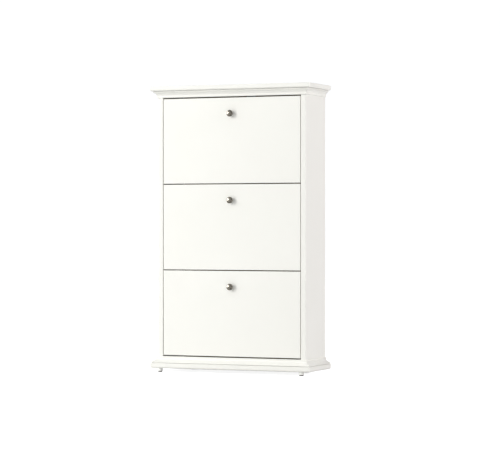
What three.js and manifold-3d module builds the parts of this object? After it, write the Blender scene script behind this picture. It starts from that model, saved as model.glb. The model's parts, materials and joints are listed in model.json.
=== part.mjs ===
// A tall white shoe cabinet: a case with a moulded cornice and plinth, and three flaps that tilt out.
// Each flap carries two rows of shoes between boards that slide into moulded end brackets.
// Millimetres. +X is the width, -Y the front, +Z up. The origin is on the floor, in the middle.
import * as THREE from 'three';
import { mergeVertices } from 'three/addons/utils/BufferGeometryUtils.js';
import Module from 'manifold-3d';

const wasm = await Module();
wasm.setup();

// The case
const CASE_WIDTH = 670;
const CASE_DEPTH = 218;
const OVERHANG = 26; // of the top and base boards, past the case at the front and the sides
const FOOT_HEIGHT = 16;
const BASE_THICKNESS = 22;
const TOP_THICKNESS = 20;
const MOULDING_HEIGHT = 28.2;
const END_GAP = 4.8; // above the top flap and below the bottom one
const FILLET_REACH = 4; // how far the cornice's fillet stands out from the case
const FILLET_HEIGHT = 7;
const CORNICE_REACH = 16.5;
const BEAD_REACH = 6; // how far the bead on the plinth stands out
const LIP_UNDERCUT = 5;
const SIDE_THICKNESS = 22;
const RAIL_THICKNESS = 16;
const BACK_THICKNESS = 3;
const REBATE_WIDTH = 8; // let into the inner rear edge of each side for the back panel
const REBATE_DEPTH = 5;
const FIT = 0.3; // between pieces that touch

// The flaps
const FLAPS = ['bottom', 'middle', 'top'];
const FLAP_PITCH = 360;
const FLAP_GAP = 4; // between one flap and the next
const FLAP_SIDE_GAP = 3;
const FLAP_THICKNESS = 16;
const FLAP_EDGE = 2; // radius round the front face
const PIVOT_BEHIND_FRONT = 24;
const PIVOT_ABOVE_EDGE = 80;
const OPEN_ANGLE = THREE.MathUtils.degToRad(50);

// The boards in a flap, from its pivot: behind it and above it
const BOARD_THICKNESS = 10;
const FLOOR_BELOW_PIVOT = 40;
const DIVIDER_BEHIND = 82;
const TRAY_BACK_BEHIND = 166;
const BOARDS_ABOVE_PIVOT = 188;

// The end brackets
const PLATE_THICKNESS = 3;
const PLATE_FROM_SIDE = 4.5; // clearance between a plate and the case side
const RIB = 2;
const RIB_DEPTH = 8;
const FLANGE_DEPTH = 17;
const HUB_RADIUS = 7;
const HUB_STAND = 3; // the hub past both faces of the plate
const STOP_RADIUS = 62; // of the stop pin's path round the pivot
const STOP_ANGLE = THREE.MathUtils.degToRad(62);

// Pins, screws and knobs
const PIN_RADIUS = 4;
const PIN_CLEARANCE = 0.3;
const PLUG_RADIUS = 4.7;
const PLUG_HOLE_RADIUS = 5;
const PLUG_DEPTH = 12;
const COLLAR = 0.8;
const SCREW_RADIUS = 2;
const SCREW_HOLE_RADIUS = 2.3;
const PILOT_RADIUS = 1.5;
const PILOT_DEPTH = 11;
const KNOB_RADIUS = 14;
const KNOB_LENGTH = 25;
const KNOB_ABOVE_EDGE = 290;

// The feet
const PAD_THICKNESS = 4;
const PAD_RADIUS = 9;
const FOOT_RADIUS = 11;
const FOOT_FLARE = 4; // the height over which a glide widens
const FRONT_FOOT_FROM_MIDDLE = 320;
const REAR_FOOT_FROM_MIDDLE = 260;
const FRONT_FOOT_AHEAD = 12; // of the case front
const REAR_FOOT_INSET = 24; // from the back
const SPIGOT_RADIUS = 3;
const SPIGOT_HEIGHT = 10;

// Worked out from the driving dimensions
const OUTER = CASE_WIDTH / 2;
const INNER = OUTER - SIDE_THICKNESS;
const BACK = (CASE_DEPTH + OVERHANG) / 2;
const FRONT = BACK - CASE_DEPTH;
const BASE_TOP = FOOT_HEIGHT + BASE_THICKNESS;
const OPENING_BOTTOM = BASE_TOP + MOULDING_HEIGHT;
const OPENING_TOP = OPENING_BOTTOM + FLAPS.length * FLAP_PITCH - FLAP_GAP + 2 * END_GAP;
const CASE_TOP = OPENING_TOP + MOULDING_HEIGHT;
const TOP = CASE_TOP + TOP_THICKNESS;
const FLAP_HEIGHT = FLAP_PITCH - FLAP_GAP;
const FLAP_HALF = INNER - FLAP_SIDE_GAP;
const PIVOT_Y = FRONT + PIVOT_BEHIND_FRONT;
const PANEL_FRONT = -PIVOT_BEHIND_FRONT; // in a flap's own frame, whose origin is its pivot
const PANEL_REAR = PANEL_FRONT + FLAP_THICKNESS;
const BACK_FACE = BACK - REBATE_DEPTH + FIT;
const PLATE_OUTER = INNER - PLATE_FROM_SIDE;
const PLATE_INNER = PLATE_OUTER - PLATE_THICKNESS;
const SCREW_LINE = PLATE_OUTER - FLANGE_DEPTH / 2 - 1;
const BRACKET_SCREWS = [-52, 60, 218]; // above the pivot

const flapBottom = (level) => OPENING_BOTTOM + END_GAP + level * FLAP_PITCH;
const pivotZ = (level) => flapBottom(level) + PIVOT_ABOVE_EDGE;

// ---------------------------------------------------------------- materials

const whiteLacquer = () => new THREE.MeshStandardMaterial({ color: 0xf3f0e8, roughness: 0.42, metalness: 0 });
const hardboard = () => new THREE.MeshStandardMaterial({ color: 0x9a7a55, roughness: 0.8, metalness: 0 });
const agedNickel = () => new THREE.MeshStandardMaterial({ color: 0x8d867c, roughness: 0.35, metalness: 1 });
const zincSteel = () => new THREE.MeshStandardMaterial({ color: 0xb9bcc0, roughness: 0.4, metalness: 1 });
const mouldedPlastic = () => new THREE.MeshStandardMaterial({ color: 0xe4e3df, roughness: 0.5, metalness: 0 });
const greyFelt = () => new THREE.MeshStandardMaterial({ color: 0x6e6c69, roughness: 0.95, metalness: 0 });

// ---------------------------------------------------------------- solids

// A three.js geometry as a manifold-3d solid.
function solidOf(geometry) {
  const bare = new THREE.BufferGeometry();
  const source = geometry.index ? geometry.toNonIndexed() : geometry;
  bare.setAttribute('position', source.getAttribute('position'));
  const welded = mergeVertices(bare, 1e-3);
  const vertProperties = welded.attributes.position.array;
  const triVerts = new Uint32Array(welded.index.array);
  return new wasm.Manifold(new wasm.Mesh({ numProp: 3, vertProperties, triVerts }));
}

// A manifold-3d solid as a three.js geometry.
function geometryOf(solid) {
  const { vertProperties, triVerts } = solid.getMesh();
  const geometry = new THREE.BufferGeometry();
  geometry.setAttribute('position', new THREE.BufferAttribute(new Float32Array(vertProperties), 3));
  geometry.setIndex(new THREE.BufferAttribute(new Uint32Array(triVerts), 1));
  return geometry;
}

// Joins the first list of geometries and cuts the second list out of them.
function carve(joined, cuts = []) {
  let solid = solidOf(joined[0]);
  for (const geometry of joined.slice(1)) {
    solid = solid.add(solidOf(geometry));
  }
  for (const geometry of cuts) {
    solid = solid.subtract(solidOf(geometry));
  }
  return geometryOf(solid);
}

function common(a, b) {
  return geometryOf(solidOf(a).intersect(solidOf(b)));
}

function box(x0, x1, y0, y1, z0, z1) {
  const geometry = new THREE.BoxGeometry(x1 - x0, y1 - y0, z1 - z0);
  return geometry.translate((x0 + x1) / 2, (y0 + y1) / 2, (z0 + z1) / 2);
}

function extrude(shape, depth, curveSegments = 6) {
  return new THREE.ExtrudeGeometry(shape, { depth, curveSegments, bevelEnabled: false });
}

// An outline drawn in Y and Z, extruded along X.
function alongX(shape, x0, x1, curveSegments) {
  const turn = new THREE.Matrix4().makeBasis(
    new THREE.Vector3(0, 1, 0),
    new THREE.Vector3(0, 0, 1),
    new THREE.Vector3(1, 0, 0),
  );
  return extrude(shape, x1 - x0, curveSegments).applyMatrix4(turn).translate(x0, 0, 0);
}

// An outline drawn in X and Z, extruded along Y.
function alongY(shape, y0, y1, curveSegments) {
  return extrude(shape, y1 - y0, curveSegments).rotateX(Math.PI / 2).translate(0, y1, 0);
}

// An outline drawn in X and Y, extruded along Z.
function alongZ(shape, z0, z1, curveSegments) {
  return extrude(shape, z1 - z0, curveSegments).translate(0, 0, z0);
}

// A rectangle whose corners, anticlockwise from the lowest one, have the radii given.
function roundedRect(x0, y0, x1, y1, [lowLeft, lowRight, highRight, highLeft]) {
  const quarter = Math.PI / 2;
  const shape = new THREE.Shape();
  const corner = (x, y, radius, start) => {
    if (radius > 0) {
      shape.absarc(x, y, radius, start, start + quarter);
    } else {
      shape.lineTo(x, y);
    }
  };
  shape.moveTo(x0 + lowLeft, y0);
  shape.lineTo(x1 - lowRight, y0);
  corner(x1 - lowRight, y0 + lowRight, lowRight, -quarter);
  corner(x1 - highRight, y1 - highRight, highRight, 0);
  corner(x0 + highLeft, y1 - highLeft, highLeft, quarter);
  corner(x0 + lowLeft, y0 + lowLeft, lowLeft, 2 * quarter);
  return shape;
}

// A turned solid: its profile runs from the axis, up its outside, and back to the axis.
function turned(profile, sides, divisions = 4) {
  const points = [];
  for (const point of profile.getPoints(divisions)) {
    const last = points[points.length - 1];
    if (!last || last.distanceTo(point) > 1e-4) {
      points.push(point);
    }
  }
  return new THREE.LatheGeometry(points, sides);
}

function profileOf(...points) {
  const path = new THREE.Path();
  path.moveTo(...points[0]);
  for (const point of points.slice(1)) {
    path.lineTo(...point);
  }
  return path;
}

function rod(radius, length, sides) {
  return turned(profileOf([0, 0], [radius, 0], [radius, length], [0, length]), sides);
}

// Rods that run along +X or +Y from the point given, to drill with.
const drillX = (x, y, z, radius, length, sides) =>
  rod(radius, length, sides).rotateZ(-Math.PI / 2).translate(x, y, z);
const drillY = (x, y, z, radius, length, sides) =>
  rod(radius, length, sides).translate(x, y, z);
const drillZ = (x, y, z, radius, length, sides) =>
  rod(radius, length, sides).rotateX(Math.PI / 2).translate(x, y, z);

// ---------------------------------------------------------------- the case

// A board seen from above: its front and side edges have the same rounded section.
function edgedBoard(z0, z1, lowRadius, highRadius) {
  const reach = OUTER + OVERHANG;
  const frontSection = roundedRect(FRONT - OVERHANG, z0, BACK, z1, [lowRadius, 0, 0, highRadius]);
  const sideSection = roundedRect(-reach, z0, reach, z1, [lowRadius, lowRadius, highRadius, highRadius]);
  return common(
    alongX(frontSection, -reach, reach),
    alongY(sideSection, FRONT - OVERHANG, BACK),
  );
}

function topBoard() {
  const lowRadius = 5;
  const highRadius = 3;
  return edgedBoard(CASE_TOP, TOP, lowRadius, highRadius);
}

function baseBoard() {
  const lowRadius = 8;
  const highRadius = 3;
  const spigotHoles = footPlaces().map(({ x, y }) =>
    drillZ(x, y, FOOT_HEIGHT - 1, SPIGOT_RADIUS + FIT, SPIGOT_HEIGHT + 1.5, 12));
  return carve([edgedBoard(FOOT_HEIGHT, BASE_TOP, lowRadius, highRadius)], spigotHoles);
}

// Where the two kinds of pin stand in the case sides, for every flap.
function pinPlaces(level) {
  return {
    pivot: { y: PIVOT_Y, z: pivotZ(level) },
    stop: {
      y: PIVOT_Y + STOP_RADIUS * Math.cos(STOP_ANGLE),
      z: pivotZ(level) + STOP_RADIUS * Math.sin(STOP_ANGLE),
    },
  };
}

// One case side, in plan: rounded at the outer front edge, rebated at the inner rear edge.
function sidePanel(side) {
  const edge = 5;
  const plan = new THREE.Path();
  plan.moveTo(INNER, FRONT);
  plan.lineTo(OUTER - edge, FRONT);
  plan.absarc(OUTER - edge, FRONT + edge, edge, -Math.PI / 2, 0);
  plan.lineTo(OUTER, BACK);
  plan.lineTo(INNER + REBATE_WIDTH, BACK);
  plan.lineTo(INNER + REBATE_WIDTH, BACK - REBATE_DEPTH);
  plan.lineTo(INNER, BACK - REBATE_DEPTH);
  const outline = plan.getPoints(6).map((point) => new THREE.Vector2(side * point.x, point.y));
  const holes = [];
  FLAPS.forEach((name, level) => {
    for (const { y, z } of Object.values(pinPlaces(level))) {
      const mouth = side > 0 ? INNER - 1 : -INNER - PLUG_DEPTH;
      holes.push(drillX(mouth, y, z, PLUG_HOLE_RADIUS, PLUG_DEPTH + 1, 12));
    }
  });
  return carve([alongZ(new THREE.Shape(outline), BASE_TOP + FIT, CASE_TOP - FIT)], holes);
}

// A rail across the front of the case, behind a moulding.
function frontRail(z0, z1) {
  return box(-INNER + FIT, INNER - FIT, FRONT, FRONT + RAIL_THICKNESS, z0, z1);
}

// A flat board between two flaps, near the back, where no flap sweeps.
function crossRail(level) {
  const depth = 80;
  const rear = BACK_FACE - 3;
  const bottom = flapBottom(level) + 6;
  return box(-INNER + FIT, INNER - FIT, rear - depth, rear, bottom, bottom + RAIL_THICKNESS);
}

function backPanel() {
  const half = INNER + REBATE_WIDTH - FIT;
  return box(-half, half, BACK_FACE, BACK_FACE + BACK_THICKNESS, BASE_TOP + FIT, CASE_TOP - FIT);
}

// The cornice section: how far it stands out, and its height. A cyma reversa over a plain fillet.
function corniceSection() {
  const top = CASE_TOP - FIT;
  const section = new THREE.Shape();
  const neck = FILLET_REACH - 1.5;
  section.moveTo(FIT, OPENING_TOP);
  section.lineTo(FILLET_REACH, OPENING_TOP);
  section.lineTo(FILLET_REACH, OPENING_TOP + FILLET_HEIGHT);
  section.lineTo(neck, OPENING_TOP + FILLET_HEIGHT + 1);
  section.bezierCurveTo(neck, top - 10, CORNICE_REACH, top - 14, CORNICE_REACH, top - 4);
  section.lineTo(CORNICE_REACH, top);
  section.lineTo(FIT, top);
  return section;
}

// The plinth section: an S curve that runs out to a thin lip, undercut where it meets the board.
function plinthSection() {
  const bottom = BASE_TOP + FIT;
  const section = new THREE.Shape();
  const lip = OVERHANG - 0.5;
  const neck = BEAD_REACH - 1.5;
  section.moveTo(FIT, bottom);
  section.lineTo(OVERHANG - LIP_UNDERCUT, bottom);
  section.lineTo(OVERHANG - LIP_UNDERCUT, bottom + 1.4);
  section.lineTo(lip, bottom + 2.2);
  section.bezierCurveTo(lip - 3.5, bottom + 9, neck + 2.5, bottom + 9, neck, bottom + 21);
  section.lineTo(BEAD_REACH, bottom + 22);
  section.lineTo(BEAD_REACH, OPENING_BOTTOM - 1.5);
  section.lineTo(neck, OPENING_BOTTOM);
  section.lineTo(FIT, OPENING_BOTTOM);
  return section;
}

// Extrudes a moulding's section by one unit and puts every vertex where the rule says.
// The section's first coordinate is how far it stands out, the second its height.
function moulding(section, rule) {
  const geometry = extrude(section, 1, 8);
  const position = geometry.attributes.position;
  for (let i = 0; i < position.count; i += 1) {
    const [x, y] = rule(position.getX(i), position.getZ(i));
    position.setXYZ(i, x, y, position.getY(i));
  }
  return geometry;
}

const MITRE_GAP = 0.22; // cut off each piece where two mouldings meet

function frontMoulding(section) {
  return moulding(section, (out, along) => [(1 - 2 * along) * (OUTER + out - MITRE_GAP), FRONT - out]);
}

function sideMoulding(section, side) {
  return moulding(section, (out, along) => {
    const atFront = side > 0 ? along > 0.5 : along < 0.5;
    return [side * (OUTER + out), atFront ? FRONT - out + MITRE_GAP : BACK];
  });
}

// ---------------------------------------------------------------- feet, pins and the wall angle

function footPlaces() {
  const places = [];
  const rows = [
    ['front', FRONT_FOOT_FROM_MIDDLE, FRONT - FRONT_FOOT_AHEAD],
    ['rear', REAR_FOOT_FROM_MIDDLE, BACK - REAR_FOOT_INSET],
  ];
  for (const [row, x, y] of rows) {
    places.push({ name: `${row}_left`, x: -x, y });
    places.push({ name: `${row}_right`, x, y });
  }
  return places;
}

// A nylon glide that widens upwards, with a spigot that goes into the base board.
function footGlide() {
  const height = FOOT_HEIGHT - FIT;
  const profile = profileOf(
    [0, PAD_THICKNESS + FIT],
    [PAD_RADIUS + 0.5, PAD_THICKNESS + FIT],
    [FOOT_RADIUS, PAD_THICKNESS + FOOT_FLARE],
    [FOOT_RADIUS, height],
    [SPIGOT_RADIUS, height],
    [SPIGOT_RADIUS, height + SPIGOT_HEIGHT],
    [0, height + SPIGOT_HEIGHT],
  );
  return turned(profile, 20).rotateX(Math.PI / 2);
}

function footPad() {
  return rod(PAD_RADIUS, PAD_THICKNESS, 20).rotateX(Math.PI / 2);
}

// A pin from its tip inside the cabinet to its plug in a case side, along +X from the tip.
function casePin(tip, collarRadius) {
  const sides = 12;
  const collarStart = INNER - FIT - COLLAR - tip;
  const profile = profileOf(
    [0, 0],
    [PIN_RADIUS - 0.6, 0],
    [PIN_RADIUS, 0.6],
    [PIN_RADIUS, collarStart],
    [collarRadius, collarStart],
    [collarRadius, collarStart + COLLAR],
    [PLUG_RADIUS, collarStart + COLLAR],
    [PLUG_RADIUS, INNER + PLUG_DEPTH - 0.5 - tip],
    [0, INNER + PLUG_DEPTH - 0.5 - tip],
  );
  return turned(profile, sides);
}

// A pressed steel angle under the top board, in front of the back panel.
function wallAngle() {
  const half = 20;
  const leg = 30;
  const thickness = 2;
  const rear = BACK_FACE - FIT;
  const top = CASE_TOP - FIT;
  const upright = box(-half, half, rear - thickness, rear, top - leg, top);
  const flat = box(-half, half, rear - leg + 4, rear, top - thickness, top);
  const holes = [];
  for (const x of [-11, 11]) {
    holes.push(drillY(x, rear - thickness - 1, top - leg / 2 - 3, 2.8, thickness + 2, 12));
    holes.push(drillZ(x, rear - leg / 2, top - thickness - 1, SCREW_HOLE_RADIUS, thickness + 2, 12));
  }
  return carve([upright, flat], holes);
}

// ---------------------------------------------------------------- a flap, in its pivot's frame

// The front panel: rounded round its front face, drilled for the knob screw and the bracket screws.
function flapPanel() {
  const bottom = -PIVOT_ABOVE_EDGE;
  const top = bottom + FLAP_HEIGHT;
  const r = FLAP_EDGE;
  const upright = alongX(
    roundedRect(PANEL_FRONT, bottom, PANEL_REAR, top, [r, 0, 0, r]), -FLAP_HALF, FLAP_HALF, 4);
  const plan = alongZ(
    roundedRect(-FLAP_HALF, PANEL_FRONT, FLAP_HALF, PANEL_REAR, [r, r, 0, 0]), bottom, top, 4);
  const holes = [
    drillY(0, PANEL_FRONT - 1, KNOB_ABOVE_EDGE + bottom, SCREW_HOLE_RADIUS, FLAP_THICKNESS + 2, 12),
  ];
  for (const side of [-1, 1]) {
    for (const z of BRACKET_SCREWS) {
      holes.push(drillY(side * SCREW_LINE, PANEL_REAR - PILOT_DEPTH, z, PILOT_RADIUS, PILOT_DEPTH + 1, 8));
    }
  }
  return carve([common(upright, plan)], holes);
}

// A round knob on a waisted neck, with a blind bore for its screw. It points to -Y.
function knob() {
  const bore = 14;
  const profile = new THREE.Path();
  profile.moveTo(0, bore);
  profile.lineTo(SCREW_HOLE_RADIUS, bore);
  profile.lineTo(SCREW_HOLE_RADIUS, 0);
  profile.lineTo(8, 0);
  profile.lineTo(8, 1.6);
  profile.quadraticCurveTo(5.6, 3, 5.6, 6);
  profile.quadraticCurveTo(5.6, 9.6, KNOB_RADIUS - 2.5, 10.8);
  profile.quadraticCurveTo(KNOB_RADIUS, 12, KNOB_RADIUS, 15);
  profile.bezierCurveTo(KNOB_RADIUS, 20.5, KNOB_RADIUS * 0.6, KNOB_LENGTH, 0, KNOB_LENGTH);
  return turned(profile, 20).rotateX(Math.PI).translate(0, PANEL_FRONT - FIT, 0);
}

// The knob's screw: a pan head behind the panel, and a shank that reaches into the knob.
function knobScrew() {
  const head = 2.6;
  const end = head + FIT + FLAP_THICKNESS + 12;
  const profile = profileOf(
    [0, 0], [3, 0], [4, 1], [4, head], [SCREW_RADIUS, head], [SCREW_RADIUS, end], [0, end]);
  return turned(profile, 12).rotateX(Math.PI).translate(0, PANEL_REAR + FIT + head, 0);
}

const BOARD_HALF = PLATE_INNER - FIT;

// The floor board starts behind the flanges of the brackets.
function trayFloor() {
  const front = PANEL_REAR + PLATE_THICKNESS + 2 * FIT;
  const rear = TRAY_BACK_BEHIND + BOARD_THICKNESS;
  const bottom = -FLOOR_BELOW_PIVOT;
  return box(-BOARD_HALF, BOARD_HALF, front, rear, bottom, bottom + BOARD_THICKNESS);
}

// An upright board that stands on the tray floor.
function trayWall(behind) {
  const bottom = -FLOOR_BELOW_PIVOT + BOARD_THICKNESS + FIT;
  return box(-BOARD_HALF, BOARD_HALF, behind, behind + BOARD_THICKNESS, bottom, BOARDS_ABOVE_PIVOT);
}

// The outline of a bracket's plate, seen along X: behind the pivot, and above it.
function plateOutline() {
  const front = PANEL_REAR + FIT;
  const rear = TRAY_BACK_BEHIND + BOARD_THICKNESS + 4;
  const top = BOARDS_ABOVE_PIVOT + 3;
  const floor = -FLOOR_BELOW_PIVOT - 8;
  const outline = new THREE.Shape();
  outline.moveTo(front, -62);
  outline.lineTo(24, -62);
  outline.quadraticCurveTo(58, -62, 88, floor);
  outline.lineTo(rear - 12, floor);
  outline.quadraticCurveTo(rear - 1, floor, rear, floor + 12);
  outline.lineTo(rear, top - 8);
  outline.absarc(rear - 8, top - 8, 8, 0, Math.PI / 2);
  outline.lineTo(80, top);
  outline.bezierCurveTo(46, top, 42, 232, 14, 232);
  outline.lineTo(front, 232);
  outline.holes.push(stopSlot());
  return outline;
}

// The curved slot that the stop pin runs in, with round ends.
function stopSlot() {
  const halfWidth = PIN_RADIUS + 0.5;
  const from = STOP_ANGLE - OPEN_ANGLE;
  const to = STOP_ANGLE;
  const end = (angle, start) => slot.absarc(
    STOP_RADIUS * Math.cos(angle), STOP_RADIUS * Math.sin(angle), halfWidth, start, start + Math.PI);
  const slot = new THREE.Path();
  slot.absarc(0, 0, STOP_RADIUS + halfWidth, from, to);
  end(to, to);
  slot.absarc(0, 0, STOP_RADIUS - halfWidth, to, from, true);
  end(from, from + Math.PI);
  return slot;
}

// The ribs that hold the ends of the three boards, two to a board: [y0, y1, z0, z1].
function ribs() {
  const front = PANEL_REAR + FIT;
  const floor = -FLOOR_BELOW_PIVOT;
  const onFloor = floor + BOARD_THICKNESS + FIT;
  const rear = TRAY_BACK_BEHIND + BOARD_THICKNESS + FIT + RIB;
  const list = [
    [front, rear, floor - FIT - RIB, floor - FIT],
    [front, DIVIDER_BEHIND - FIT - RIB, onFloor, onFloor + RIB],
  ];
  for (const behind of [DIVIDER_BEHIND, TRAY_BACK_BEHIND]) {
    list.push([behind - FIT - RIB, behind - FIT, onFloor, BOARDS_ABOVE_PIVOT]);
    list.push([behind + BOARD_THICKNESS + FIT, behind + BOARD_THICKNESS + FIT + RIB,
      behind === TRAY_BACK_BEHIND ? floor - FIT - RIB : onFloor, BOARDS_ABOVE_PIVOT]);
  }
  const between = DIVIDER_BEHIND + BOARD_THICKNESS + FIT;
  list.push([between, TRAY_BACK_BEHIND - FIT, onFloor, onFloor + RIB]);
  return list;
}

// A moulded bracket for the end of a flap. side is 1 on the right and -1 on the left.
function bracket(side) {
  const onSide = (near, far) => (side > 0 ? [near, far] : [-far, -near]);
  const front = PANEL_REAR + FIT;
  const [plateLow, plateHigh] = onSide(PLATE_INNER, PLATE_OUTER);
  const [ribLow, ribHigh] = onSide(PLATE_INNER - RIB_DEPTH, PLATE_INNER + 1);
  const [flangeLow, flangeHigh] = onSide(PLATE_OUTER - FLANGE_DEPTH, PLATE_OUTER);
  const [hubLow] = onSide(PLATE_INNER - HUB_STAND, PLATE_OUTER + HUB_STAND);
  const hubLength = PLATE_THICKNESS + 2 * HUB_STAND;
  const solids = [
    alongX(plateOutline(), plateLow, plateHigh),
    box(flangeLow, flangeHigh, front, front + PLATE_THICKNESS, -62, 232),
    drillX(hubLow, 0, 0, HUB_RADIUS, hubLength, 20),
  ];
  for (const [y0, y1, z0, z1] of ribs()) {
    solids.push(box(ribLow, ribHigh, y0, y1, z0, z1));
  }
  const holes = [drillX(hubLow - 1, 0, 0, PIN_RADIUS + PIN_CLEARANCE, hubLength + 2, 12)];
  for (const z of BRACKET_SCREWS) {
    holes.push(drillY(side * SCREW_LINE, front - 1, z, SCREW_HOLE_RADIUS, PLATE_THICKNESS + 2, 8));
  }
  return carve(solids, holes);
}

// ---------------------------------------------------------------- the assembly

function named(parent, name, geometry, material) {
  const mesh = new THREE.Mesh(geometry, material);
  mesh.name = name;
  parent.add(mesh);
  return mesh;
}

const cabinet = new THREE.Group();
const SIDES = [['left', -1], ['right', 1]];

function addCase() {
  named(cabinet, 'top_board', topBoard(), whiteLacquer());
  named(cabinet, 'base_board', baseBoard(), whiteLacquer());
  named(cabinet, 'top_rail', frontRail(OPENING_TOP, CASE_TOP - FIT), whiteLacquer());
  named(cabinet, 'bottom_rail', frontRail(BASE_TOP + FIT, OPENING_BOTTOM), whiteLacquer());
  named(cabinet, 'cross_rail_lower', crossRail(1), whiteLacquer());
  named(cabinet, 'cross_rail_upper', crossRail(2), whiteLacquer());
  named(cabinet, 'back_panel', backPanel(), hardboard());
  named(cabinet, 'cornice_front', frontMoulding(corniceSection()), whiteLacquer());
  named(cabinet, 'plinth_front', frontMoulding(plinthSection()), whiteLacquer());
  for (const [word, side] of SIDES) {
    named(cabinet, `side_panel_${word}`, sidePanel(side), whiteLacquer());
    named(cabinet, `cornice_${word}`, sideMoulding(corniceSection(), side), whiteLacquer());
    named(cabinet, `plinth_${word}`, sideMoulding(plinthSection(), side), whiteLacquer());
  }
  named(cabinet, 'wall_angle', wallAngle(), zincSteel());
}

function addFeet() {
  for (const { name, x, y } of footPlaces()) {
    named(cabinet, `foot_${name}`, footGlide(), mouldedPlastic()).position.set(x, y, 0);
    named(cabinet, `foot_pad_${name}`, footPad(), greyFelt()).position.set(x, y, 0);
  }
}

function addPins(level) {
  const { pivot, stop } = pinPlaces(level);
  const pivotTip = PLATE_INNER - HUB_STAND + 0.5;
  const stopTip = PLATE_INNER - 1.2;
  for (const [word, side] of SIDES) {
    const pins = [
      ['pivot_pin', casePin(pivotTip, 8), pivot, pivotTip],
      ['stop_pin', casePin(stopTip, 6.5), stop, stopTip],
    ];
    for (const [kind, geometry, place, tip] of pins) {
      const pin = named(cabinet, `${kind}_${FLAPS[level]}_${word}`, geometry, zincSteel());
      pin.position.set(side * tip, place.y, place.z);
      pin.rotation.z = -side * Math.PI / 2;
    }
  }
}

function addFlap(level) {
  const flap = new THREE.Group();
  flap.position.set(0, PIVOT_Y, pivotZ(level));
  cabinet.add(flap);
  const add = (piece, geometry, material) => named(flap, `flap_${FLAPS[level]}_${piece}`, geometry, material);
  const knobHeight = KNOB_ABOVE_EDGE - PIVOT_ABOVE_EDGE;
  add('panel', flapPanel(), whiteLacquer());
  add('knob', knob(), agedNickel()).position.z = knobHeight;
  add('knob_screw', knobScrew(), zincSteel()).position.z = knobHeight;
  add('tray_floor', trayFloor(), whiteLacquer());
  add('tray_divider', trayWall(DIVIDER_BEHIND), whiteLacquer());
  add('tray_back', trayWall(TRAY_BACK_BEHIND), whiteLacquer());
  for (const [word, side] of SIDES) {
    add(`bracket_${word}`, bracket(side), mouldedPlastic());
  }
}

addCase();
addFeet();
FLAPS.forEach((name, level) => {
  addPins(level);
  addFlap(level);
});

export default cabinet;
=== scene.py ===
"""A tall white shoe cabinet with a moulded cornice and plinth and three flaps that tilt out.

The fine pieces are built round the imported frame, and every place and size comes from it. Metres, +Z up,
-Y the front.
"""

import json
import math

import bmesh
import bpy
from bpy.props import FloatProperty, FloatVectorProperty, IntProperty, PointerProperty
from mathutils import Matrix, Vector
from mathutils.geometry import interpolate_bezier


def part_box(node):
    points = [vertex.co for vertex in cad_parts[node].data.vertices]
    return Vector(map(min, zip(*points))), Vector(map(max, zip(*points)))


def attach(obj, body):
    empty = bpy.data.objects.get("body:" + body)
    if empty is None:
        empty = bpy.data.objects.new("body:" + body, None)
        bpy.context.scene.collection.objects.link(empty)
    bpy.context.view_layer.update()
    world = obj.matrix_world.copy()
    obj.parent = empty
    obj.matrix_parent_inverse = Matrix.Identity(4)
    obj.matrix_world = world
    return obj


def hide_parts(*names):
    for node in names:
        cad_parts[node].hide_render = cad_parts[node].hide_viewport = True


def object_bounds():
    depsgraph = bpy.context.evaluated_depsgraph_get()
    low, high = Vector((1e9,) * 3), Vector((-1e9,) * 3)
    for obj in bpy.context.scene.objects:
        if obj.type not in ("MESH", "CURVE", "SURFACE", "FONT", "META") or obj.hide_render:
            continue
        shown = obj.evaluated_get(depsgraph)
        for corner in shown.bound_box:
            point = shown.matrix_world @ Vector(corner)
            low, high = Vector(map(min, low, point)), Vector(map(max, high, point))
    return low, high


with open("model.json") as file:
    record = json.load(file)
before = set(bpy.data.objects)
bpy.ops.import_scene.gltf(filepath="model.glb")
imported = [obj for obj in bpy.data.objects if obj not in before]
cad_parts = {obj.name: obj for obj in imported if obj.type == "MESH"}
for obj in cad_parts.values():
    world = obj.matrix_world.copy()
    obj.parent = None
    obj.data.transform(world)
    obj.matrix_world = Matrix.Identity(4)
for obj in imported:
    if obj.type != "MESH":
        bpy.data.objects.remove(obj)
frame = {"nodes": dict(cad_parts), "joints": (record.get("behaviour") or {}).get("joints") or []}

bl_info = {
    "name": "Moulded Shoe Cabinet",
    "version": (1, 0, 0),
    "blender": (4, 5, 0),
    "location": "3D View > Sidebar > Cabinet",
    "description": "Builds the boards, mouldings, fittings and finishes of a tilt-out shoe cabinet",
    "category": "Add Mesh",
}

MM = 0.001
FIT = 0.3 * MM  # clearance between a piece and the one that holds it
EDGE_MARK = "rounded_edge"  # face attribute: 1 on the faces that round an edge
ALONG_MARK = "along_profile"  # vertex attribute of turned pieces: the distance along the profile
FLAPS = ("bottom", "middle", "top")
SIDES = (("left", -1), ("right", 1))

CAD_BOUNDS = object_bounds()
CASE = "case"
SIDE_LOW, SIDE_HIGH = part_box("side_panel_right")
INNER, OUTER = SIDE_LOW.x, SIDE_HIGH.x
FRONT, BACK = SIDE_LOW.y, SIDE_HIGH.y
PIVOTS = {joint["child"]: Vector(joint["pos_m"]) for joint in frame["joints"]}


# ------------------------------------------------------------------ settings


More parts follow.
